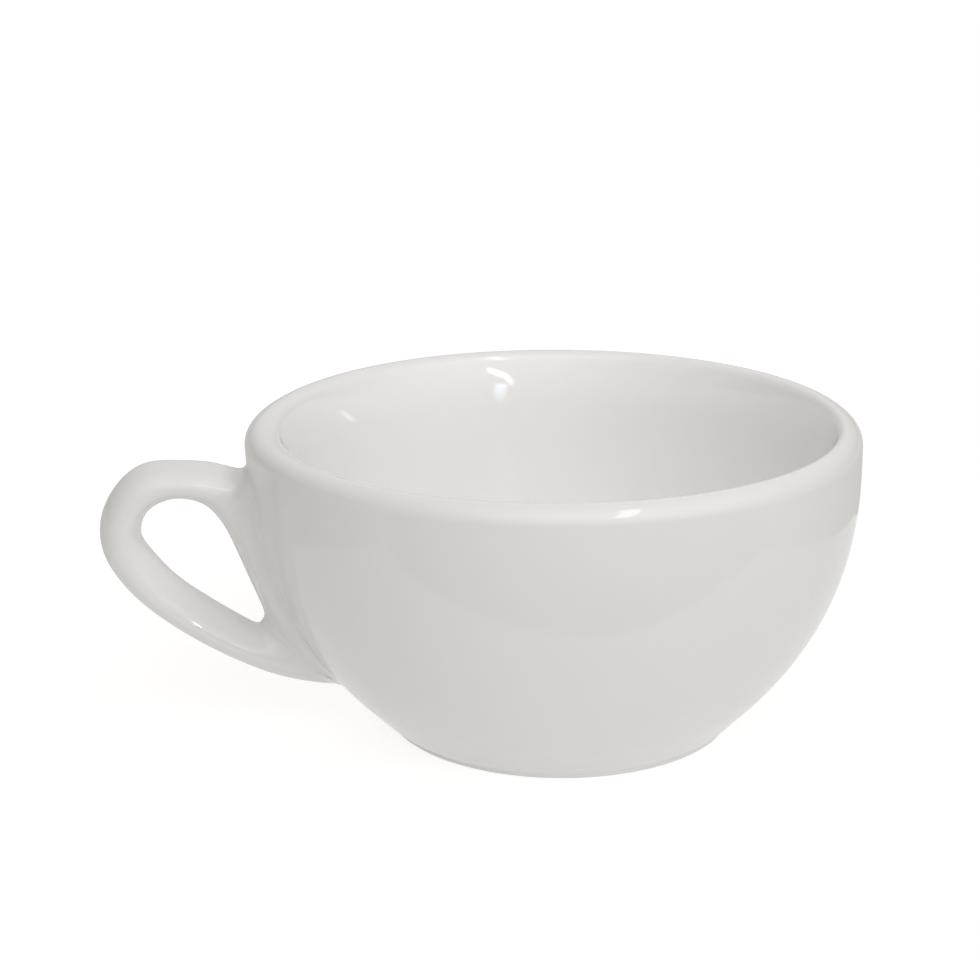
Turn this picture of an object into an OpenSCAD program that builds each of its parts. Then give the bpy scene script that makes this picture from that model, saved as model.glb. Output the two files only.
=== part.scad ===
// A round-bellied porcelain coffee cup with a thick rounded lip, a low foot
// and a closed ear handle. Millimetres, +Z up. The origin is the centre of
// the foot on the table, and the handle points along -X.

/* [Bowl] */
// Outer radius of the rim
rim_r = 50; // [46:0.5:54]
// Height of the cup from the table to the top of the lip
cup_h = 52; // [51:0.5:56]
// Height at which the outside of the wall turns upright
belly_z = 48; // [45:0.5:48.5]
// How far the outside draws in from the rim to the table
belly_in = 22; // [20:0.5:23]
// Fullness of the belly: a larger number keeps the wall upright for longer
belly_pow = 2.5; // [2.3:0.05:2.6]
// Thickness of the wall at the lip
lip_t = 4; // [3.6:0.1:4.4]
// Level of the floor inside the cup
floor_z = 6.5; // [6:0.1:7.5]

/* [Foot] */
// Height of the foot ring, which is also the depth of the recess in it
foot_h = 3; // [2.5:0.1:3.4]
// Width of the face that stands on the table
foot_w = 3; // [2.4:0.1:3.6]
// Rounding of the ring's edges
foot_e = 0.8; // [0.5:0.1:1]

/* [Handle] */
// Width of the handle across its grip
grip_w = 9.4; // [8.4:0.2:10.4]
// How much further than on this cup the handle stands out
reach = 0; // [-1:0.5:3]
// Thickness of the slip layer between the handle and the wall
slip_t = 0.4; // [0.3:0.05:0.6]

/* [Hidden] */
$fn = 96;

glaze = [0.87, 0.86, 0.845];
bare = [0.83, 0.80, 0.75];
slip_colour = [0.85, 0.84, 0.82];

// the lip is a full round: a larger radius outside than inside
lip_o = lip_t * 0.55;
lip_i = lip_t - lip_o;
// radius of the upright part of the inside
in_r = rim_r - lip_t;
// clearance between solids that touch
gap = 0.03;
// scale of the handle's heights with the cup's
kz = cup_h / 52;

// outside of the wall at height z
function r_out(z) =
    z >= belly_z ? rim_r
                 : rim_r - belly_in * pow((belly_z - z) / belly_z, belly_pow);

// inside of the wall at height z, down to the flat of the floor
function r_in(z) =
    z >= belly_z ? in_r
                 : in_r * pow(1 - pow((belly_z - z) / (belly_z - floor_z), 1.9), 1 / 4.6);

// points of an arc about [cx, cy], from angle a0 to a1
function arc(cx, cy, r, a0, a1, n) =
    [for (i = [0:n]) let(a = a0 + (a1 - a0) * i / n) [cx + r * cos(a), cy + r * sin(a)]];

module bowl_profile() {
    n = 30;
    outside = [for (i = [0:n]) let(z = foot_h + (belly_z - foot_h) * i / n) [r_out(z), z]];
    lip = concat(arc(rim_r - lip_o, cup_h - lip_o, lip_o, 0, 90, 8),
                 [for (p = arc(in_r + lip_i, cup_h - lip_i, lip_i, 90, 180, 8)) p]);
    // closer steps near the floor, where the inside turns level
    inside = [for (i = [0:n]) let(z = floor_z + 0.01 + (belly_z - floor_z - 0.01) * pow(1 - i / n, 2)) [r_in(z), z]];
    polygon(concat([[0, foot_h]], outside,
                   [for (i = [0:len(lip) - 1]) if (i != 9) lip[i]],
                   inside, [[0, floor_z]]));
}

module bowl() {
    color(glaze) rotate_extrude() bowl_profile();
}

module foot_ring() {
    r0 = r_out(foot_e) - foot_e;     // outer end of the standing face
    r1 = r0 - foot_w;                // its inner end
    n = 6;
    color(bare) rotate_extrude() polygon(concat(
        [for (i = [0:n]) let(z = foot_h - (foot_h - foot_e) * i / n) [r_out(z), z]],
        [for (p = arc(r0, foot_e, foot_e, 0, -90, 5)) if (p[1] < foot_e - 0.01) p],
        [for (p = arc(r1, foot_e, foot_e, -90, -180, 5)) p],
        [[r1 - foot_e - 0.5, foot_h]]));
}

// Stations round the handle's loop, from the upper arm out, down and back up
// the wall: [hole edge u, z, outer edge u, z, half width, squareness of the
// outer half, flare towards the wall]. u is the distance from the cup's axis.
function at_wall(z) = r_out(z * kz) - 0.8;
hw = grip_w / 2;
LOOP = [
    [59.7 + reach, 40.3, 56.3 + reach, 45.8, hw, 2.4, 0.05],
    [62.3 + reach, 40.6, 61.6 + reach, 46.4, hw - 0.2, 2, 0],
    [65.1 + reach, 39.6, 66.7 + reach, 46.2, hw - 0.2, 2, 0],
    [67.1 + reach, 37.8, 70.9 + reach, 43.9, hw - 0.1, 2, 0],
    [68.2 + reach, 35.2, 74.1 + reach, 39.2, hw, 2, 0],
    [67.8 + reach, 33.3, 75.0 + reach, 33.9, hw, 2, 0],
    [66.0 + reach, 30.8, 73.5 + reach, 28.8, hw, 2, 0],
    [62.2 + reach, 26.6, 68.8 + reach, 22.5, hw, 2, 0],
    [56.7 + reach, 22.4, 61.0 + reach, 16.3, hw, 2, 0],
    [52.7 + reach, 19.6, 52.5 + reach, 11.5, hw, 2, 0],
    [50.3, 18.4, 43.8, 8.1, hw + 0.1, 2.4, 0.1],
    [49.1, 18.7, at_wall(6.6), 6.6, hw + 0.2, 4, 0.3],
    [49.0, 20.6, at_wall(12), 12, hw + 0.3, 6, 0.45],
    [50.0, 23.9, at_wall(19), 19, hw + 0.3, 6, 0.45],
    [51.4, 27.7, at_wall(26), 26, hw + 0.3, 6, 0.45],
    [53.0, 31.6, at_wall(33), 33, hw + 0.3, 6, 0.45],
    [54.7 + reach, 35.5, at_wall(39), 39, hw + 0.3, 6, 0.45],
    [56.6 + reach, 38.4, at_wall(43), 43, hw + 0.2, 5, 0.35],
    [58.1 + reach, 39.6, at_wall(44.9), 44.9, hw + 0.1, 4, 0.2],
];

function blend4(a, b, c, d, t) =
    0.5 * (2 * b + (c - a) * t + (2 * a - 5 * b + 4 * c - d) * t * t + (3 * b - a - 3 * c + d) * t * t * t);

// the loop's values at position s, counted in stations
function loop_at(s) =
    let(n = len(LOOP), i = floor(s), t = s - i)
    blend4(LOOP[(i + n - 1) % n], LOOP[i % n], LOOP[(i + 1) % n], LOOP[(i + 2) % n], t);

function sgn_pow(x, e) = sign(x) * pow(abs(x), e);

// a point of the loop's section: an ellipse on the hole's side, squarer and
// flared on the wall's side, and never nearer the wall than the slip
function section_pt(L, a) =
    let(c = cos(a), s = sin(a),
        m = c < 0 ? max(2, L[5]) : 2,
        e = (1 - sgn_pow(c, 2 / m)) / 2,
        f = max(0, 2 * e - 1),
        y = L[4] * sgn_pow(s, 2 / m) * (1 + max(0, L[6]) * f * f),
        u = L[0] + (L[2] - L[0]) * e,
        z = (L[1] + (L[3] - L[1]) * e) * kz,
        rw = r_out(z) + slip_t + 2 * gap)
    [-max(u, sqrt(max(0, rw * rw - y * y))), y, z];

module handle() {
    steps = 3;               // rings for each station
    sides = 24;
    n = len(LOOP) * steps;
    pts = [for (k = [0:n - 1]) let(L = loop_at(k / steps))
           for (j = [0:sides - 1]) section_pt(L, 360 * (j + 0.5) / sides)];
    tri = [for (k = [0:n - 1], j = [0:sides - 1])
           let(k2 = (k + 1) % n, j2 = (j + 1) % sides,
               a = k * sides + j, b = k * sides + j2, c = k2 * sides + j2, d = k2 * sides + j)
           each [[a, b, c], [a, c, d]]];
    color(glaze) polyhedron(points = pts, faces = tri);
}

// half width of the slip's patch at height z
slip_z0 = 6.4 * kz;
slip_z1 = 45.3 * kz;
function slip_hw(z) =
    let(t = 2 * (z - slip_z0) / (slip_z1 - slip_z0) - 1)
    (hw + 0.3) * 1.38 * pow(max(0, 1 - pow(abs(t), 10)), 0.5) + 0.4;

function slip_pt(z, y, t) =
    let(r = r_out(z) + gap + t) [-sqrt(r * r - y * y), y, z];

module handle_slip() {
    rows = 26;
    cols = 10;
    grid = (rows + 1) * (cols + 1);
    pts = [for (t = [0, slip_t]) for (i = [0:rows]) for (j = [0:cols])
           let(z = slip_z0 + (slip_z1 - slip_z0) * (1 - cos(180 * i / rows)) / 2,
               y = slip_hw(z) * (2 * j / cols - 1))
           slip_pt(z, y, t)];
    function id(l, i, j) = l * grid + i * (cols + 1) + j;
    // the face on the wall, the face under the handle, and the edge round both
    wall = [for (i = [0:rows - 1], j = [0:cols - 1])
            each [[id(0, i, j), id(0, i, j + 1), id(0, i + 1, j + 1)],
                  [id(0, i, j), id(0, i + 1, j + 1), id(0, i + 1, j)]]];
    front = [for (i = [0:rows - 1], j = [0:cols - 1])
             each [[id(1, i, j), id(1, i + 1, j + 1), id(1, i, j + 1)],
                   [id(1, i, j), id(1, i + 1, j), id(1, i + 1, j + 1)]]];
    rim = concat([for (j = [0:cols]) [0, j]],
                 [for (i = [1:rows]) [i, cols]],
                 [for (j = [cols - 1:-1:0]) [rows, j]],
                 [for (i = [rows - 1:-1:1]) [i, 0]]);
    edge = [for (k = [0:len(rim) - 1])
            let(p = rim[k], q = rim[(k + 1) % len(rim)])
            each [[id(0, p[0], p[1]), id(1, p[0], p[1]), id(1, q[0], q[1])],
                  [id(0, p[0], p[1]), id(1, q[0], q[1]), id(0, q[0], q[1])]]];
    color(slip_colour) polyhedron(points = pts, faces = concat(wall, front, edge));
}

bowl();
foot_ring();
handle();
handle_slip();
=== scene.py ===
import math

import bpy
import numpy as np
from mathutils import Matrix, Vector


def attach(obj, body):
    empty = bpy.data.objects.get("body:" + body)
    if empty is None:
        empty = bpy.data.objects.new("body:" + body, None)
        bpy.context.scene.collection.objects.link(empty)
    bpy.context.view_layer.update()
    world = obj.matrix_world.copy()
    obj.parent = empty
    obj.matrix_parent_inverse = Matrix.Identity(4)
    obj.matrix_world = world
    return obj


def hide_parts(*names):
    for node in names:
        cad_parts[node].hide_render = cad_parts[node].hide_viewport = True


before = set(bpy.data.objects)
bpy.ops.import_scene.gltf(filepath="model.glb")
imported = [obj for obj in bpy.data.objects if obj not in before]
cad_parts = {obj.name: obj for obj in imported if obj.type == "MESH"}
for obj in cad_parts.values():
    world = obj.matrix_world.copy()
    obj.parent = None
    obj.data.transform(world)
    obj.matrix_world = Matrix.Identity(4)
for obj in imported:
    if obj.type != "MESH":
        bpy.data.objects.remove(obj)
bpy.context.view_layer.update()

# A white porcelain cappuccino cup: bowl, foot ring, ear handle and the slip
# that joins the handle to the wall. Shapes are worked out in millimetres in
# the CAD frame (origin at the centre of the foot, handle along -X, +Z up) and
# written to the meshes in metres.

scene = bpy.context.scene
MM = 0.001

# ---------------------------------------------------------------- the shape
RIM_R, CUP_H = 49.95, 51.55
BELLY_Z, BELLY_IN, BELLY_POW = 48.0, 22.0, 2.5
WALL_Z = 42.0           # height at which the inside turns upright
LIP_O, LIP_I = 2.85, 1.92   # radii of the lip outside and inside
LIP_TURN = 80.0         # degrees of the outer round, before the inner one
LIP_SLOPE = 15.5        # degrees by which the inside opens to the lip
FLOOR_Z = 6.5
FOOT_H, FOOT_W, FOOT_E = 3.0, 3.0, 0.8
HW = 4.7
LEAN = 0.0142           # the fired cup leans this much towards its handle
HANDLE_SHIFT = 0.65     # and carries the handle with it
INSIDE_OFF = 0.45       # the inside stands off the outside, away from the handle


def r_out(z):
    """Outside of the wall, with the slight hollow above the foot."""
    z = np.asarray(z, float)
    r = RIM_R - BELLY_IN * (np.clip(BELLY_Z - z, 0, None) / BELLY_Z) ** BELLY_POW
    return r - 0.14 * np.exp(-(((z - 5.0) / 1.9) ** 2)) - 0.05 * np.exp(-((z / 1.6) ** 2))


def on_arc(centre, radius, degrees):
    a = math.radians(degrees)
    return centre[0] + radius * math.cos(a), centre[1] + radius * math.sin(a)


# the lip: a broad round outside and a smaller one inside, which runs out into
# a wall that opens a little towards the lip
LIP_C = (RIM_R - LIP_O, CUP_H - 2.77)
LIP_D = on_arc(LIP_C, LIP_O - LIP_I, LIP_TURN)
LIP_END = on_arc(LIP_D, LIP_I, 180 - LIP_SLOPE)
WALL_BEND = (LIP_END[1] - WALL_Z) / math.sin(math.radians(LIP_SLOPE))
IN_R = LIP_END[0] - WALL_BEND * (1 - math.cos(math.radians(LIP_SLOPE)))     # inside of the upright wall


def r_in_floor(r):
    """Height of the inside at radius r, from the wall in to the floor."""
    return WALL_Z - (WALL_Z - FLOOR_Z) * (1 - (np.asarray(r, float) / IN_R) ** 4.4) ** (1 / 2.45)


def r_in(z):
    w = np.clip((WALL_Z - np.asarray(z, float)) / (WALL_Z - FLOOR_Z), 0, 1)
    return IN_R * (1 - w ** 2.45) ** (1 / 4.4)


def off_axis(z):
    """How far the body's centre at height z stands off the foot's axis."""
    z = np.asarray(z, float)
    return -LEAN * z + 0.16 * np.exp(-((z / 3.6) ** 2))


def swell(az, z):
    """How far the wall is drawn out on the handle's side."""
    d = np.degrees(np.abs(np.asarray(az, float) % (2 * math.pi) - math.pi))
    t = np.clip(np.asarray(z, float) / CUP_H, 0, 1)
    amount = 0.28 + 0.07 * t + 0.45 * t ** 3
    return amount * np.exp(-0.5 * (d / 15.0) ** 2)


def out_of_round(az, z):
    """The few hundredths by which a fired rim is never a true circle."""
    t = np.clip(np.asarray(z, float) / CUP_H, 0, 1) ** 1.5
    return (t * (0.045 * np.cos(2 * az - 0.7) + 0.03 * np.cos(3 * az + 1.1))
            + t ** 3 * 0.12 * (1 - np.cos(4 * az + 0.56)))


SLIP_W, SLIP_H, SLIP_ZC, SLIP_T = 16.0, 22.5, 25.6, 0.42


def slip_rho(az, z):
    d = np.asarray(az, float) % (2 * math.pi) - math.pi
    y = np.abs(d) * r_out(z)
    return ((y / SLIP_W) ** 2.5 + (np.abs(np.asarray(z, float) - SLIP_ZC) / SLIP_H) ** 2.5) ** (1 / 2.5)


def slip_rise(az, z):
    """Thickness of the slip over the wall, feathered out at its edge."""
    rho = np.clip(slip_rho(az, z), 0, 1)
    return SLIP_T * (1 - rho ** 2) ** 2 - 0.015


def wall_r(az, z):
    return r_out(z) + swell(az, z) + out_of_round(az, z)


def base_r(az, z):
    """What the handle stands on: the wall with the slip on it."""
    return wall_r(az, z) + np.maximum(slip_rise(az, z), 0)


def placed(r, az, z):
    """Points of the body in the CAD frame, from body radius, azimuth, height."""
    return np.stack([r * np.cos(az) + off_axis(z), r * np.sin(az), z + 0 * r], -1)


# ---------------------------------------------------------------- meshes
def make_object(name, verts, faces, sharp=None, attributes=None):
    mesh = bpy.data.meshes.new(name)
    mesh.from_pydata((np.asarray(verts) * MM).tolist(), [], [list(map(int, f)) for f in faces])
    mesh.update()
    mesh.polygons.foreach_set("use_smooth", [True] * len(mesh.polygons))
    if sharp:
        mark = mesh.attributes.new("sharp_edge", "BOOLEAN", "EDGE")
        flags = np.zeros(len(mesh.edges), bool)
        ends = np.zeros(len(mesh.edges) * 2, int)
        mesh.edges.foreach_get("vertices", ends)
        group = np.full(len(mesh.vertices), -1)
        for k, ids in enumerate(sharp):
            group[list(ids)] = k
        a, b = group[ends[0::2]], group[ends[1::2]]
        flags = (a >= 0) & (a == b)
        mark.data.foreach_set("value", flags)
    for key, values in (attributes or {}).items():
        attr = mesh.attributes.new(key, "FLOAT", "POINT")
        attr.data.foreach_set("value", np.asarray(values, np.float32))
    mesh.validate()
    obj = bpy.data.objects.new(name, mesh)
    scene.collection.objects.link(obj)
    return obj


def grid_faces(rows, cols, wrap_rows=False, flip=False):
    faces = []
    for i in range(rows if wrap_rows else rows - 1):
        i2 = (i + 1) % rows
        for j in range(cols):
            j2 = (j + 1) % cols
            f = (i * cols + j, i * cols + j2, i2 * cols + j2, i2 * cols + j)
            faces.append(f[::-1] if flip else f)
    return faces


SEG = 320


def segment_angles():
    """Angles round the axis, closer together at the handle."""
    t = np.arange(SEG) / SEG * 2 * math.pi
    return t - 0.35 * np.sin(t) * -1.0 * 0.6


def lip_profile():
    """Radius and height of each point, and how much of the handle's pull on
    the outside it shares."""
    pts = [(*on_arc(LIP_C, LIP_O, a), 1.0) for a in np.linspace(0, LIP_TURN, 26)]
    turns = np.linspace(LIP_TURN, 180 - LIP_SLOPE, 34)[1:]
    for a in turns:
        pts.append((*on_arc(LIP_D, LIP_I, a), 0.5 + 0.5 * math.cos(math.pi * (a - LIP_TURN) / (turns[-1] - LIP_TURN))))
    for a in np.linspace(180 - LIP_SLOPE, 180, 22)[1:]:
        pts.append((*on_arc((IN_R + WALL_BEND, WALL_Z), WALL_BEND, a), 0.0))
    return pts


def bowl():
    profile, sharp_rows = [], []
    # the underside inside the foot, slightly raised in the middle
    under = [(r, FOOT_H + 0.25 * (1 - min(1, r / 21.0) ** 2)) for r in np.linspace(1.5, 21.0, 14)]
    under += [(22.0, FOOT_H), (23.5, FOOT_H), (26.0, FOOT_H), (28.2, FOOT_H)]
    profile += under
    zs = np.concatenate([np.linspace(FOOT_H, 12, 34), np.linspace(12, BELLY_Z, 74)[1:]])
    sharp_rows.append(len(profile))
    profile += [(float(r_out(z)), float(z)) for z in zs]
    lip = lip_profile()
    share = [1.0] * len(profile) + [v[2] for v in lip]
    profile += [v[:2] for v in lip]
    zs = np.linspace(profile[-1][1] - 0.5, 13.0, 66)
    profile += [(float(r_in(z)), float(z)) for z in zs]
    r0 = float(r_in(13.0))
    for r in r0 * (1 - np.linspace(0, 1, 60)[1:-1]):
        profile.append((r, float(r_in_floor(r))))
    share = np.array(share + [0.0] * (len(profile) - len(share)))[:, None]
    profile = np.array(profile)
    az = segment_angles()
    R, A = np.meshgrid(profile[:, 0], az, indexing="ij")
    Z = np.repeat(profile[:, 1][:, None], len(az), 1)
    hold = np.clip((R - 30.0) / 14.0, 0, 1)
    hold = hold * hold * (3 - 2 * hold)
    hold = np.where(Z < 30, np.maximum(hold, np.clip((R - 27) / 3, 0, 1) * (np.arange(len(profile))[:, None] < len(under) + 110)), hold)
    pts = placed(R + hold * (share * swell(A, Z) + out_of_round(A, Z)), A, Z)
    pts[..., 0] += INSIDE_OFF * hold * (1 - share)
    pts = pts.reshape(-1, 3)
    rows, cols = len(profile), len(az)
    faces = grid_faces(rows, cols)
    bottom = len(pts)
    pts = np.vstack([pts, [[float(off_axis(FOOT_H)), 0, FOOT_H + 0.25]], [[float(off_axis(FLOOR_Z)), 0, FLOOR_Z]]])
    for j in range(cols):
        j2 = (j + 1) % cols
        faces.append((bottom, j2, j))
        faces.append((bottom + 1, (rows - 1) * cols + j, (rows - 1) * cols + j2))
    sharp = [range(k * cols, (k + 1) * cols) for k in sharp_rows]
    return make_object("bowl_glazed", pts, faces, sharp)


def foot_ring():
    r0 = float(r_out(FOOT_E)) - FOOT_E
    r1 = r0 - FOOT_W
    profile = [(float(r_out(z)), float(z)) for z in np.linspace(FOOT_H, FOOT_E, 16)]
    for a in np.radians(np.linspace(0, -90, 12))[1:]:
        profile.append((r0 + FOOT_E * math.cos(a), FOOT_E + FOOT_E * math.sin(a)))
    profile += [(r, 0.0) for r in np.linspace(r0, r1, 9)[1:-1]]
    for a in np.radians(np.linspace(-90, -180, 12)):
        profile.append((r1 + FOOT_E * math.cos(a), FOOT_E + FOOT_E * math.sin(a)))
    # the inner side leans in and turns into the recess's ceiling
    for a in np.radians(np.linspace(-10, 90, 14)):
        profile.append((r1 - FOOT_E - 1.55 + 1.3 * math.cos(a), 1.7 + 1.3 * math.sin(a)))
    inner_top = len(profile) - 1
    profile += [(r, FOOT_H) for r in np.linspace(profile[-1][0], float(r_out(FOOT_H)), 8)[1:-1]]
    profile = np.array(profile)
    az = segment_angles()
    R, A = np.meshgrid(profile[:, 0], az, indexing="ij")
    Z = np.repeat(profile[:, 1][:, None], len(az), 1)
    hold = np.clip((R - 27.0) / 3.0, 0, 1)
    pts = placed(R + hold * (swell(A, Z) + out_of_round(A, Z)), A, Z).reshape(-1, 3)
    cols = len(az)
    faces = grid_faces(len(profile), cols, wrap_rows=True, flip=True)
    sharp = [range(0, cols), range(inner_top * cols, (inner_top + 1) * cols)]
    return make_object("foot_ring_body", pts, faces, sharp)


# Stations round the handle's loop: hole edge u, z, outer edge u, z, half
# width, squareness of the outer half, and how much wider the section is
# outside than at the hole. None stands for the wall.
LOOP = [
    (59.90, 40.35, 56.45, 46.05, HW, 2.2, -0.4),
    (62.30, 40.65, 61.60, 46.55, HW - 0.2, 2.0, -0.42),
    (65.15, 39.75, 66.75, 46.45, HW - 0.2, 2.0, -0.35),
    (67.20, 37.95, 70.85, 43.85, HW - 0.1, 2.0, -0.2),
    (68.05, 35.10, 73.95, 39.10, HW, 2.0, 0),
    (67.60, 33.30, 74.70, 33.90, HW, 2.0, 0.1),
    (65.90, 30.85, 73.10, 28.90, HW, 2.0, 0.3),
    (62.25, 26.62, 68.40, 22.82, HW, 2.0, 0.5),
    (56.68, 22.42, 60.72, 16.77, HW, 2.0, 0.55),
    (52.66, 19.70, 52.48, 11.90, HW, 2.0, 0.5),
    (49.98, 17.98, 44.30, 8.65, HW + 0.1, 2.3, 0.3),
    (48.95, 18.60, None, 7.60, HW + 0.2, 3.6, 0.1),
    (48.48, 20.15, None, 12.00, HW + 0.2, 5.5, 0),
    (49.80, 23.80, None, 19.00, HW + 0.2, 6.0, 0),
    (51.30, 27.65, None, 26.00, HW + 0.2, 6.0, 0),
    (52.85, 31.65, None, 33.00, HW + 0.2, 6.0, 0),
    (54.55, 35.60, None, 39.00, HW + 0.2, 6.0, 0),
    (56.60, 38.40, None, 42.50, HW + 0.2, 4.6, 0),
    (58.00, 39.50, None, 44.00, HW + 0.1, 3.2, -0.2),
    (58.90, 40.00, 52.45, 44.75, HW, 2.5, -0.38),
]
SINK = 0.9


def loop_samples():
    L = np.array([[u, z, (float(wall_r(math.pi, oz) - off_axis(oz)) - HANDLE_SHIFT - SINK) if ou is None else ou, oz, w, m, f]
                  for u, z, ou, oz, w, m, f in LOOP], float)
    n, fine = len(L), 40
    s = np.arange(n * fine) / fine
    i = np.floor(s).astype(int)
    t = (s - i)[:, None]
    a, b, c, d = (L[(i + k) % n] for k in (-1, 0, 1, 2))
    P = 0.5 * (2 * b + (c - a) * t + (2 * a - 5 * b + 4 * c - d) * t ** 2 + (3 * b - a - 3 * c + d) * t ** 3)
    # ease the joins of the spans
    k = np.arange(-40, 41)
    g = np.exp(-0.5 * (k / 11.0) ** 2)
    g /= g.sum()
    P = sum(gi * np.roll(P, -ki, axis=0) for gi, ki in zip(g, k))
    # closer rings where the arms run into the wall
    density = np.ones(n * fine)
    for centre, width in ((18.8, 0.7), (11.2, 0.9)):
        d = np.abs((s - centre + n / 2) % n - n / 2)
        density += 2.2 * np.exp(-0.5 * (d / width) ** 2)
    step = np.hypot(*(np.roll(P[:, :2], -1, 0) - P[:, :2]).T) + np.hypot(*(np.roll(P[:, 2:4], -1, 0) - P[:, 2:4]).T)
    cum = np.concatenate([[0], np.cumsum(step * density)])
    want = np.arange(300) / 300 * cum[-1]
    idx = np.interp(want, cum, np.arange(n * fine + 1))
    lo = np.floor(idx).astype(int)
    f = (idx - lo)[:, None]
    return P[lo % (n * fine)] * (1 - f) + P[(lo + 1) % (n * fine)] * f


def sgn_pow(x, e):
    return np.sign(x) * np.abs(x) ** e


def grid_normals(P):
    along = np.roll(P, -1, 0) - np.roll(P, 1, 0)
    across = np.roll(P, -1, 1) - np.roll(P, 1, 1)
    n = np.cross(along, across)
    return n / np.maximum(np.linalg.norm(n, axis=-1, keepdims=True), 1e-9)


def handle():
    L = loop_samples()
    # fine steps round the section, closest where its two halves meet
    half = np.concatenate([np.linspace(0, 85, 160), np.linspace(85, 95, 160)[1:], np.linspace(95, 140, 320)[1:], np.linspace(140, 180, 60)[1:]])
    ang = np.radians(np.concatenate([half, 360 - half[-2:0:-1]]))
    c, s = np.cos(ang)[None, :], np.sin(ang)[None, :]
    m_out = np.maximum(2.0, L[:, 5])[:, None]
    m = np.where(c < 0, m_out, 2.0)
    e = (1 - sgn_pow(c, 2 / m)) / 2
    y = L[:, 4][:, None] * sgn_pow(s, 2 / m) * (1 + L[:, 6][:, None] * (e - 0.5))
    u = L[:, 0][:, None] + (L[:, 2] - L[:, 0])[:, None] * e + HANDLE_SHIFT
    z = L[:, 1][:, None] + (L[:, 3] - L[:, 1])[:, None] * e
    P = np.stack([-u, y, z], -1)
    nrm = grid_normals(P)
    centre = P.mean(1, keepdims=True)
    if np.mean(np.sum((P - centre) * nrm, -1)) < 0:
        nrm = -nrm
    # the soft fillet at the root: near the wall the surface spreads sideways
    xb = P[..., 0] - off_axis(P[..., 2])
    az = np.arctan2(P[..., 1], xb)
    r = np.hypot(xb, P[..., 1])
    zz = P[..., 2]
    slope = (r_out(zz + 0.05) - r_out(zz - 0.05)) / 0.1
    k = 1 / np.sqrt(1 + slope ** 2)
    w = (r - base_r(az, zz)) * k
    nw = np.stack([np.cos(az) * k, np.sin(az) * k, -slope * k], -1)
    lat = nrm - np.sum(nrm * nw, -1, keepdims=True) * nw
    size = np.linalg.norm(lat, axis=-1, keepdims=True)
    lat = lat / np.maximum(size, 1e-6)
    tz = np.abs(lat[..., 2])
    # it is broad beside the arms and tight under the lower one
    low = np.clip((28.0 - zz) / 14.0, 0, 1)
    low = low * low * (3 - 2 * low)
    rho = (4.2 - 3.0 * tz) * (1 - low) + (1.1 + 2.7 * (1 - tz) ** 2) * low
    spread = (7.5 - 6.3 * tz) * (1 - low) + (1.05 + 3.95 * (1 - tz) ** 2) * low
    f = np.where(w <= 0, 1.0, 1 - np.sqrt(np.clip(1 - (1 - np.clip(w / rho, 0, 1)) ** 2, 0, 1)))
    move = spread * f * np.clip(size[..., 0] * 1.5, 0, 1)
    P2 = P + lat * move[..., None]
    xb2 = P2[..., 0] - off_axis(P2[..., 2])
    az2 = np.arctan2(P2[..., 1], xb2)
    z2 = P2[..., 2]
    r2 = base_r(az2, z2) + (w - 0.015) / k
    near = np.clip(f * 50, 0, 1)
    r2 = near * r2 + (1 - near) * np.hypot(xb2, P2[..., 1])
    P2 = placed(r2, az2, z2)
    t = np.clip(1 - (w - 0.015) / (0.12 - 0.08 * low), 0, 1)
    t = t * t * (3 - 2 * t) * np.clip(size[..., 0] * 3, 0, 1)
    # even steps over what shows, and wide ones over what is inside the wall
    full = np.concatenate([P2, w[..., None], t[..., None]], -1)
    mid, count, halves = len(half) - 1, 90, []
    for idx in (np.arange(mid + 1), np.arange(mid, 2 * mid + 1) % (2 * mid)):
        Q = full[:, idx]
        step = np.linalg.norm(np.diff(Q[..., :3], axis=1), axis=-1) * np.where(Q[:, 1:, 3] < -0.1, 0.12, 1.0)
        rings = []
        for ring, steps in zip(Q, step):
            cum = np.concatenate([[0], np.cumsum(steps)])
            at = np.interp(np.arange(count) / count * cum[-1], cum, np.arange(len(cum)))
            lo = np.minimum(np.floor(at).astype(int), len(cum) - 2)
            part = (at - lo)[:, None]
            rings.append(ring[lo] * (1 - part) + ring[lo + 1] * part)
        halves.append(np.array(rings))
    full = np.concatenate(halves, 1)
    rows, cols = full.shape[:2]
    faces = grid_faces(rows, cols, wrap_rows=True, flip=False)
    obj = make_object("handle_ear", full[..., :3].reshape(-1, 3), faces)
    obj["foot"] = full[..., 4].ravel().tolist()
    return obj


def wall_normals(points):
    """Outward normals of the wall with the slip on it, near given points."""
    x = points[:, 0] - off_axis(points[:, 2])
    az, z = np.arctan2(points[:, 1], x), points[:, 2]
    r = base_r(az, z)
    da = (base_r(az + 1e-3, z) - base_r(az - 1e-3, z)) / 2e-3
    dz = (base_r(az, z + 0.02) - base_r(az, z - 0.02)) / 0.04
    n = np.stack([np.cos(az) + da / r * np.sin(az), np.sin(az) - da / r * np.cos(az), -dz], -1)
    return n / np.linalg.norm(n, axis=1, keepdims=True)


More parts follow.
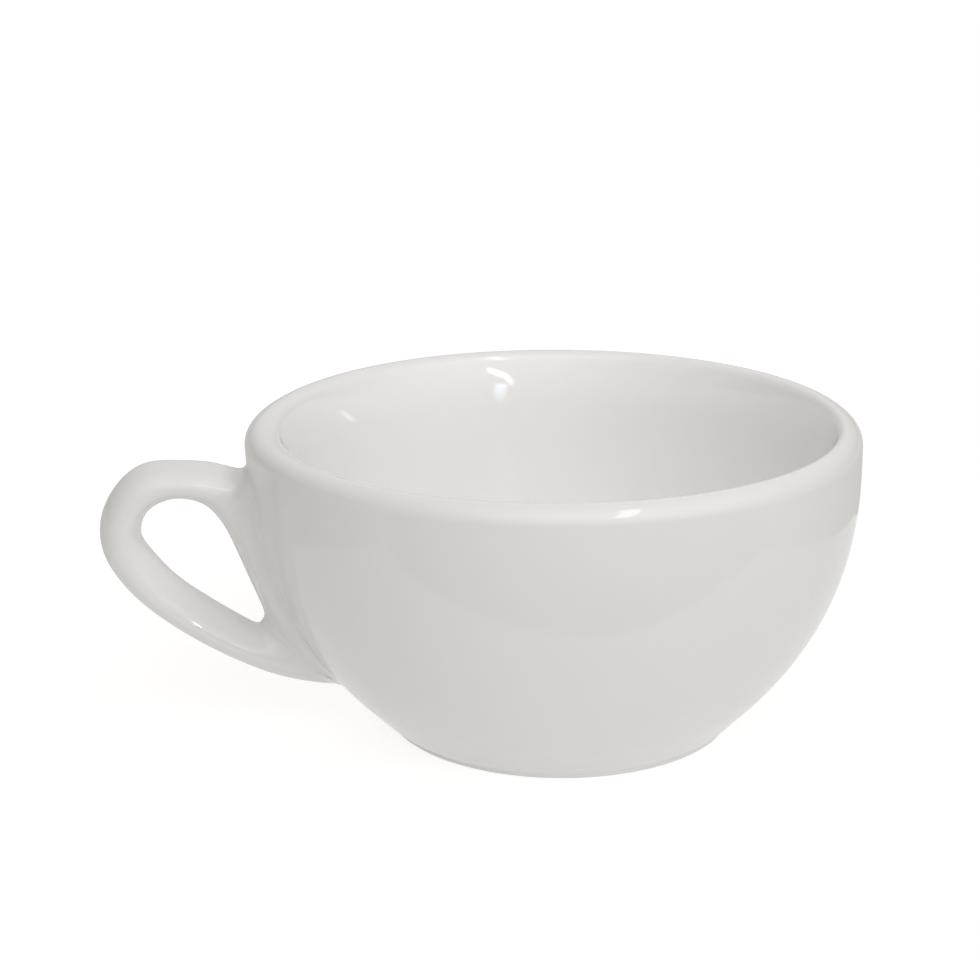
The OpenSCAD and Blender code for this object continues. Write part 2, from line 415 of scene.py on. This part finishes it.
def handle_slip():
    rings, cols = 34, 144
    th = np.arange(cols) / cols * 2 * math.pi
    top, bottom = [], []
    cy, cz = sgn_pow(np.cos(th), 2 / 2.5), sgn_pow(np.sin(th), 2 / 2.5)
    rho = np.sin(np.linspace(0, 1, rings + 1)[1:] * math.pi / 2)
    for q in rho:
        z = SLIP_ZC + SLIP_H * q * cz
        az = math.pi + SLIP_W * q * cy / r_out(z)
        top.append(placed(wall_r(az, z) + slip_rise(az, z), az, z))
        bottom.append(placed(wall_r(az, z) - 0.015 - 0.5 * (1 - q ** 2), az, z))
    top, bottom = np.array(top), np.array(bottom)
    pts = list(top.reshape(-1, 3)) + list(bottom[:-1].reshape(-1, 3))
    faces = grid_faces(rings, cols, flip=True)
    off = rings * cols
    for i in range(rings - 1):
        for j in range(cols):
            j2 = (j + 1) % cols
            a, b = off + i * cols + j, off + i * cols + j2
            if i == rings - 2:
                c, d = (rings - 1) * cols + j2, (rings - 1) * cols + j
            else:
                c, d = off + (i + 1) * cols + j2, off + (i + 1) * cols + j
            faces.append((a, b, c, d))
    z0, a0 = np.array(SLIP_ZC), np.array(math.pi)
    pts.append(placed(wall_r(a0, z0) + slip_rise(a0, z0), a0, z0))
    pts.append(placed(wall_r(a0, z0) - 0.515, a0, z0))
    t, b = len(pts) - 2, len(pts) - 1
    for j in range(cols):
        j2 = (j + 1) % cols
        faces.append((t, j, j2))
        faces.append((b, off + j2, off + j))
    return make_object("handle_slip_joint", pts, faces)


pieces = {"bowl": bowl(), "foot_ring": foot_ring(), "handle": handle(), "handle_slip": handle_slip()}

# outward normals on every closed piece
for obj in pieces.values():
    co = np.zeros(len(obj.data.vertices) * 3)
    obj.data.vertices.foreach_get("co", co)
    co = co.reshape(-1, 3)
    obj.data.calc_loop_triangles()
    tri = np.zeros(len(obj.data.loop_triangles) * 3, int)
    obj.data.loop_triangles.foreach_get("vertices", tri)
    a, b, c = (co[tri[k::3]] for k in range(3))
    if np.einsum("ij,ij->i", a, np.cross(b, c)).sum() < 0:
        obj.data.flip_normals()

# the handle's shading runs on into the wall's at its root, as glaze pooled in
# the corner does
ear = pieces["handle"].data
flat = np.zeros(len(ear.vertices) * 3)
ear.vertices.foreach_get("co", flat)
own = np.zeros(len(ear.vertices) * 3)
ear.vertex_normals.foreach_get("vector", own)
own = own.reshape(-1, 3)
foot_share = np.array(pieces["handle"]["foot"])[:, None]
del pieces["handle"]["foot"]
soft = own * (1 - foot_share) + wall_normals(flat.reshape(-1, 3) / MM) * foot_share
soft /= np.linalg.norm(soft, axis=1, keepdims=True)
ear.normals_split_custom_set_from_vertices(soft.tolist())

# ---------------------------------------------------------------- materials


def principled(name):
    mat = bpy.data.materials.new(name)
    mat.use_nodes = True
    nodes, links = mat.node_tree.nodes, mat.node_tree.links
    nodes.clear()
    out = nodes.new("ShaderNodeOutputMaterial")
    bsdf = nodes.new("ShaderNodeBsdfPrincipled")
    links.new(bsdf.outputs["BSDF"], out.inputs["Surface"])
    return mat, nodes, links, bsdf


def noise(nodes, links, coord, scale, detail=2.0, rough=0.5):
    n = nodes.new("ShaderNodeTexNoise")
    n.inputs["Scale"].default_value = scale
    n.inputs["Detail"].default_value = detail
    n.inputs["Roughness"].default_value = rough
    links.new(coord, n.inputs["Vector"])
    return n.outputs["Fac"]


def remap(nodes, links, value, lo, hi, to_lo, to_hi, smooth=False):
    n = nodes.new("ShaderNodeMapRange")
    n.interpolation_type = "SMOOTHSTEP" if smooth else "LINEAR"
    n.inputs["From Min"].default_value = lo
    n.inputs["From Max"].default_value = hi
    n.inputs["To Min"].default_value = to_lo
    n.inputs["To Max"].default_value = to_hi
    links.new(value, n.inputs["Value"])
    return n.outputs["Result"]


def math_node(nodes, links, op, a, b):
    n = nodes.new("ShaderNodeMath")
    n.operation = op
    for k, v in enumerate((a, b)):
        if isinstance(v, (int, float)):
            n.inputs[k].default_value = v
        else:
            links.new(v, n.inputs[k])
    return n.outputs["Value"]


def mix_colour(nodes, links, fac, a, b):
    n = nodes.new("ShaderNodeMix")
    n.data_type = "RGBA"
    links.new(fac, n.inputs["Factor"])
    for key, v in ((6, a), (7, b)):
        if isinstance(v, tuple):
            n.inputs[key].default_value = (*v, 1)
        else:
            links.new(v, n.inputs[key])
    return n.outputs[2]


GLAZE_A = (0.908, 0.901, 0.887)
GLAZE_B = (0.893, 0.887, 0.875)


def glaze_nodes(nodes, links, coord):
    """Colour, roughness and height of the fired glaze."""
    broad = noise(nodes, links, coord, 22.0, 2.0)
    fine = noise(nodes, links, coord, 420.0, 3.0, 0.6)
    tone = remap(nodes, links, broad, 0.3, 0.7, 0.0, 1.0, True)
    colour = mix_colour(nodes, links, tone, GLAZE_A, GLAZE_B)
    grain = remap(nodes, links, fine, 0.35, 0.65, 0.0, 0.35)
    colour = mix_colour(nodes, links, grain, colour, (0.912, 0.906, 0.894))
    gloss = noise(nodes, links, coord, 160.0, 3.0)
    rough = remap(nodes, links, gloss, 0.3, 0.7, 0.030, 0.060)
    peel = noise(nodes, links, coord, 230.0, 1.0)
    return colour, rough, peel


def glaze_material():
    mat, nodes, links, bsdf = principled("porcelain_glaze")
    coord = nodes.new("ShaderNodeTexCoord").outputs["Object"]
    colour, rough, peel = glaze_nodes(nodes, links, coord)
    links.new(colour, bsdf.inputs["Base Color"])
    links.new(rough, bsdf.inputs["Roughness"])
    bump = nodes.new("ShaderNodeBump")
    bump.inputs["Strength"].default_value = 0.35
    bump.inputs["Distance"].default_value = 0.00003
    links.new(peel, bump.inputs["Height"])
    links.new(bump.outputs["Normal"], bsdf.inputs["Normal"])
    bsdf.inputs["IOR"].default_value = 1.52
    return mat


def foot_material():
    mat, nodes, links, bsdf = principled("porcelain_foot")
    coord = nodes.new("ShaderNodeTexCoord").outputs["Object"]
    colour, rough, peel = glaze_nodes(nodes, links, coord)
    split = nodes.new("ShaderNodeSeparateXYZ")
    links.new(coord, split.inputs["Vector"])
    wobble = remap(nodes, links, noise(nodes, links, coord, 300.0, 3.0), 0.3, 0.7, -0.00012, 0.00012)
    height = math_node(nodes, links, "ADD", split.outputs["Z"], wobble)
    glazed = remap(nodes, links, height, 0.00012, 0.00024, 0.0, 1.0, True)
    grit = noise(nodes, links, coord, 2600.0, 4.0, 0.7)
    bare = mix_colour(nodes, links, remap(nodes, links, grit, 0.35, 0.65, 0.0, 1.0), (0.70, 0.665, 0.60), (0.79, 0.765, 0.71))
    scuffs = remap(nodes, links, noise(nodes, links, coord, 180.0, 5.0, 0.7), 0.56, 0.70, 0.0, 0.45, True)
    bare = mix_colour(nodes, links, scuffs, bare, (0.50, 0.485, 0.46))
    links.new(mix_colour(nodes, links, glazed, bare, colour), bsdf.inputs["Base Color"])
    bare_rough = remap(nodes, links, grit, 0.3, 0.7, 0.55, 0.75)
    mixed = nodes.new("ShaderNodeMix")
    links.new(glazed, mixed.inputs[0])
    links.new(bare_rough, mixed.inputs[2])
    links.new(rough, mixed.inputs[3])
    links.new(mixed.outputs[0], bsdf.inputs["Roughness"])
    bump = nodes.new("ShaderNodeBump")
    bump.inputs["Strength"].default_value = 0.5
    bump.inputs["Distance"].default_value = 0.00003
    hmix = nodes.new("ShaderNodeMix")
    links.new(glazed, hmix.inputs[0])
    links.new(grit, hmix.inputs[2])
    links.new(peel, hmix.inputs[3])
    links.new(hmix.outputs[0], bump.inputs["Height"])
    links.new(bump.outputs["Normal"], bsdf.inputs["Normal"])
    bsdf.inputs["IOR"].default_value = 1.52
    return mat


glaze, foot = glaze_material(), foot_material()
for node, obj in pieces.items():
    obj.data.materials.append(foot if node == "foot_ring" else glaze)
    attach(obj, "root")
    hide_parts(node)

# ---------------------------------------------------------------- the stage
PHI = math.radians(-8.0)
turn = Matrix.Rotation(PHI, 3, "Z")      # from the photo's frame to the CAD frame


def stage_sheet(name, outline, z, white, glow):
    """A flat sheet of paper-like stuff that lies on the table."""
    mesh = bpy.data.meshes.new(name)
    mesh.from_pydata([(x, y, z) for x, y in outline], [], [list(range(len(outline)))])
    obj = bpy.data.objects.new(name, mesh)
    scene.collection.objects.link(obj)
    mat, nodes, links, bsdf = principled(name + "_paper")
    coord = nodes.new("ShaderNodeTexCoord").outputs["Object"]
    tone = mix_colour(nodes, links, noise(nodes, links, coord, 9.0, 3.0), (white - 0.01,) * 3, (white + 0.01,) * 3)
    links.new(tone, bsdf.inputs["Base Color"])
    bsdf.inputs["Roughness"].default_value = 0.8
    bsdf.inputs["Specular IOR Level"].default_value = 0.0
    bsdf.inputs["Emission Color"].default_value = (1.0, 0.995, 0.985, 1)
    bsdf.inputs["Emission Strength"].default_value = glow
    mesh.materials.append(mat)
    return obj


def circle(radius):
    return [(radius * math.cos(a), radius * math.sin(a)) for a in np.linspace(0, 2 * math.pi, 97)[:-1]]


def only_for(obj, *rays):
    """Limits a stage sheet to the kinds of rays that may meet it."""
    for flag in ("camera", "diffuse", "glossy", "transmission", "volume_scatter", "shadow"):
        setattr(obj, "visible_" + flag, flag in rays)
    return obj


# The table is lit from below, as product tables are, so that it is white and
# has only a faint shadow. What the camera sees of it, what the cup is lit by
# and what the cup mirrors are sheets of their own, because a table as bright
# as it looks would light the cup too much. A white card lies on it under the
# cup, and its edge shows as a soft curve in the glaze.
CARD_FRONT = [(-134, -97), (-121, -91), (-102, -87), (-82, -85), (-57, -85), (-34, -85), (-19, -83), (-1, -81), (16, -77),
              (33, -75), (50, -74), (76, -72), (98, -66), (128, -54), (134, -45)]
CARD = CARD_FRONT + [(135, -28), (131, -3), (127, 18), (120, 43), (115, 57), (100, 90), (60, 115), (0, 118), (-45, 105),
                     (-62, 72), (-62, 25), (-104, 19), (-115, 15), (-118, 9), (-124, -15), (-126, -37), (-124, -57), (-120, -77)]
BEYOND = CARD_FRONT[::-1] + [(-420, -340), (0, -900), (500, -280)]
CARD, BEYOND = ([tuple((turn @ Vector((x, y, 0)) * MM)[:2]) for x, y in way] for way in (CARD, BEYOND))
floor = only_for(stage_sheet("floor", circle(6.0), 0.0, 0.5, 0.72), "camera")
card_shine = only_for(stage_sheet("card_shine", CARD, -0.0001, 0.5, 0.54), "glossy")
card = only_for(stage_sheet("card", CARD, -0.0002, 0.5, 0.320), "diffuse")
front_shine = only_for(stage_sheet("front_shine", BEYOND, -0.00025, 0.4, 0.09), "glossy")
table_shine = only_for(stage_sheet("table_shine", circle(6.0), -0.0003, 0.5, 0.28), "glossy")
table = only_for(stage_sheet("table", circle(6.0), -0.0004, 0.5, 0.305), "diffuse")

# ---------------------------------------------------------------- the camera
A, B = 368.73, 151.96
PITCH, YAW, ROLL = math.radians(17.001), math.radians(-1.669), math.radians(-0.295)
fwd = Vector((math.sin(YAW) * math.cos(PITCH), math.cos(YAW) * math.cos(PITCH), -math.sin(PITCH)))
right = Vector((math.cos(YAW), -math.sin(YAW), 0))
up = right.cross(fwd)
right2 = math.cos(ROLL) * right + math.sin(ROLL) * up
up2 = -math.sin(ROLL) * right + math.cos(ROLL) * up
place = turn @ Vector((-0.66, -A, B)) * MM
cam_data = bpy.data.cameras.new("camera")
cam = bpy.data.objects.new("camera", cam_data)
scene.collection.objects.link(cam)
cam_data.sensor_fit = "HORIZONTAL"
cam_data.sensor_width = 36.0
cam_data.lens = 36.0 * 2330.0 / 980.0
cam_data.clip_start, cam_data.clip_end = 0.01, 50.0
axes = [turn @ right2, turn @ up2, turn @ (-fwd)]
cam.matrix_world = Matrix(((axes[0].x, axes[1].x, axes[2].x, place.x),
                           (axes[0].y, axes[1].y, axes[2].y, place.y),
                           (axes[0].z, axes[1].z, axes[2].z, place.z),
                           (0, 0, 0, 1)))
scene.camera = cam

# ---------------------------------------------------------------- the light
world = bpy.data.worlds.new("studio")
scene.world = world
world.use_nodes = True


def photo_direction(azimuth, elevation):
    """Azimuth from the camera's side of the cup towards the photo's right."""
    a, e = math.radians(azimuth), math.radians(elevation)
    return turn @ Vector((math.sin(a) * math.cos(e), -math.cos(a) * math.cos(e), math.sin(e)))


def set_sky(base, lobes):
    """Soft surrounding light: an even part and broad lobes, each with its
    azimuth, elevation, tightness and colour."""
    nodes, links = world.node_tree.nodes, world.node_tree.links
    nodes.clear()
    out = nodes.new("ShaderNodeOutputWorld")
    back = nodes.new("ShaderNodeBackground")
    links.new(back.outputs["Background"], out.inputs["Surface"])
    coord = nodes.new("ShaderNodeTexCoord").outputs["Generated"]
    total = nodes.new("ShaderNodeCombineXYZ")
    for k in range(3):
        total.inputs[k].default_value = base[k]
    total = total.outputs["Vector"]
    for azimuth, elevation, tight, colour in lobes:
        dot = nodes.new("ShaderNodeVectorMath")
        dot.operation = "DOT_PRODUCT"
        links.new(coord, dot.inputs[0])
        dot.inputs[1].default_value = photo_direction(azimuth, elevation)
        lin = nodes.new("ShaderNodeMath")
        lin.operation = "MULTIPLY_ADD"
        links.new(dot.outputs["Value"], lin.inputs[0])
        lin.inputs[1].default_value = tight
        lin.inputs[2].default_value = -tight
        fall = nodes.new("ShaderNodeMath")
        fall.operation = "EXPONENT"
        links.new(lin.outputs["Value"], fall.inputs[0])
        add = nodes.new("ShaderNodeVectorMath")
        add.operation = "MULTIPLY_ADD"
        join = nodes.new("ShaderNodeCombineXYZ")
        for k in range(3):
            links.new(fall.outputs["Value"], join.inputs[k])
        links.new(join.outputs["Vector"], add.inputs[0])
        add.inputs[1].default_value = colour
        links.new(total, add.inputs[2])
        total = add.outputs["Vector"]
    links.new(total, back.inputs["Color"])
    back.inputs["Strength"].default_value = 1.0


LOBES = [(0, 15, 0.195), (0, 45, 0.905), (0, 70, 0.110), (135, 15, 0.150), (180, 15, 0.395), (180, 45, 0.325),
         (225, 15, 0.215), (225, 45, 0.215), (315, 45, 0.022), (45, 15, 0.475), (45, 45, 0.585)]
TINT = (1.022, 1.004, 0.987)
set_sky(tuple(0.120 * v for v in TINT), [(az, el, 7.0, tuple(v * t for t in TINT)) for az, el, v in LOBES])


def area_light(name, place, target, size, radiance, colour=(1, 1, 1), roll=0.0, spread=180.0, seen=True):
    """A softbox at a place that faces a target, both in millimetres in the
    photo's frame; radiance is its brightness and roll turns it about its axis."""
    data = bpy.data.lights.new(name, "AREA")
    data.shape = "RECTANGLE"
    data.size, data.size_y = size
    data.color = colour
    data.spread = math.radians(spread)
    data.energy = radiance * math.pi * size[0] * size[1]
    obj = bpy.data.objects.new(name, data)
    scene.collection.objects.link(obj)
    place, target = turn @ Vector(place) * MM, turn @ Vector(target) * MM
    obj.location = place
    aim = (place - target).to_track_quat("Z", "Y").to_matrix() @ Matrix.Rotation(math.radians(roll), 3, "Z")
    obj.rotation_euler = aim.to_euler()
    obj.visible_camera = False
    obj.visible_glossy = seen
    return obj


def around(azimuth, elevation, distance):
    """A place round the cup, by its azimuth and elevation from the cup."""
    a, e = math.radians(azimuth), math.radians(elevation)
    return (distance * math.sin(a) * math.cos(e), -distance * math.cos(a) * math.cos(e), 40 + distance * math.sin(e))


TINT_LAMP = (1.0, 0.99, 0.98)
# a strip of soft light from the front
strip = area_light("strip", around(24.7, 7.5, 1200), (0, 0, 40), (0.075, 0.235), 11.0, TINT_LAMP, roll=-42.0)
strip.visible_glossy = False
# soft light into the mouth of the cup
area_light("mouth_front", (25, -50, 150), (-5, 25, 30), (0.06, 0.06), 0.97, TINT_LAMP, spread=90.0, seen=False)


def bar(name, start, end, target, width, radiance, colour, spread=180.0):
    """A straight lamp between two places that faces a target and only shows
    as a mirror image in the glaze. A narrow spread keeps its brightness."""
    start, end, target = Vector(start), Vector(end), Vector(target)
    middle = (start + end) / 2
    half = math.radians(spread / 2)
    if spread < 180:
        radiance *= 1 - half / math.tan(half)
    obj = area_light(name, middle, target, (width, (end - start).length * MM), radiance, colour, spread=spread)
    z = (turn @ (middle - target)).normalized()
    y = turn @ (end - start)
    y = (y - y.dot(z) * z).normalized()
    obj.rotation_euler = Matrix((y.cross(z), y, z)).transposed().to_euler()
    obj.visible_diffuse = False
    return obj


def tube(name, start, end, width, radiance, colour):
    return bar(name, around(*start), around(*end), (0, 0, 40), width, radiance, colour)


# the lamp over the table that shows on the front of the rim
lamp = tube("lamp", (24.5, 30, 1300), (58, 71, 1300), 0.12, 3.6, (1.0, 0.985, 0.965))

# thin lamps that draw the fine lines along the handle's arms
lines = [bar("line_spark", (-42.2, -55.2, 20.6), (-37.0, -51.8, 29.0), (-58.8, -13.1, 19.9), 0.0014, 17.0, TINT_LAMP, spread=30.0),
         tube("line_lower", (22.7, 6.5, 1300), (22.9, 16.0, 1300), 0.10, 1.9, TINT_LAMP),
         bar("line_upper", (-50, -69.6, 83), (-32, -70.5, 75), (-56.5, -12.5, 43.4), 0.008, 3.2, TINT_LAMP, spread=40.0)]

# small marks that the wall throws on itself: a blue-white tail under the
# bright mark, and a tick on the handle's side
TAIL = np.array([[(26.0, -30.2, 48.4), (21.4, -33.3, 47.5), (-10.5, 43.3, 46.2)],
                 [(25.9, -29.5, 41.3), (21.8, -32.5, 40.4), (-10.6, 43.2, 45.2)],
                 [(26.0, -28.9, 33.1), (22.3, -31.6, 32.1), (-10.6, 43.1, 44.1)],
                 [(25.2, -26.9, 23.8), (22.4, -29.0, 23.1), (-10.5, 43.0, 42.6)]])
marks = []
# the hooked bright mark on the back wall: where its lamp stands, 55 mm from
# the wall, and how far it reaches across, from one end of the mark to the other
HOOK = [((13.77, -3.66, 59.74), (0.53, -0.39, -3.21)), ((13.06, -4.59, 58.28), (0.60, -0.38, -3.67)),
        ((12.31, -5.48, 56.65), (0.61, -0.32, -3.81)), ((11.54, -6.30, 54.94), (0.61, -0.21, -3.57)),
        ((10.92, -6.94, 53.18), (0.64, -0.04, -3.00)), ((10.48, -7.42, 51.29), (0.66, 0.13, -2.11)),
        ((10.21, -7.77, 49.17), (0.60, 0.24, -0.99)), ((10.13, -7.95, 46.92), (0.50, 0.24, -0.43))]
for k in range(15):
    i, part = min(k // 2, 6), k / 2 - min(k // 2, 6)
    (q0, s0), (q1, s1) = [[Vector(v) for v in HOOK[j]] for j in (i, i + 1)]
    place, across = q0.lerp(q1, part), s0.lerp(s1, part)
    wide = 0.55 * (q1 - q0).cross(across).length / across.length
    marks.append(bar("hook_%d" % k, place - across / 2, place + across / 2, (-10.5, 43.6, 47.7), wide * MM, 11.0, TINT_LAMP, spread=40.0))
for k in range(8):
    at = 3 * (k + 0.5) / 8
    i = int(at)
    left, right_end, aim = TAIL[i] * (1 - at + i) + TAIL[i + 1] * (at - i)
    tall = np.linalg.norm(TAIL[i + 1, 0] - TAIL[i, 0]) * 3 / 8 * MM
    marks.append(bar("tail_%d" % k, left, right_end, aim, tall, 9.5 * (1 - (k + 0.3) / 8) ** 1.1, (0.55, 0.70, 1.0), spread=30.0))
marks.append(bar("tick", (-11.3, 32.5, 44.4), (-9.4, 31.9, 39.9), (-37.1, 24.9, 45.2), 0.0007, 2.6, TINT_LAMP, spread=60.0))

# the bowl's lamps leave out the handle, and the handle's lamps the bowl
for name, nodes_lit, lamps in (("bowl_lit", ("bowl", "foot_ring", "handle_slip"), [strip, lamp, *marks]), ("handle_lit", ("handle",), lines)):
    group = bpy.data.collections.new(name)
    for node in nodes_lit:
        group.objects.link(pieces[node])
    for obj in lamps:
        obj.light_linking.receiver_collection = group

scene.view_settings.view_transform = "Standard"
scene.view_settings.look = "None"
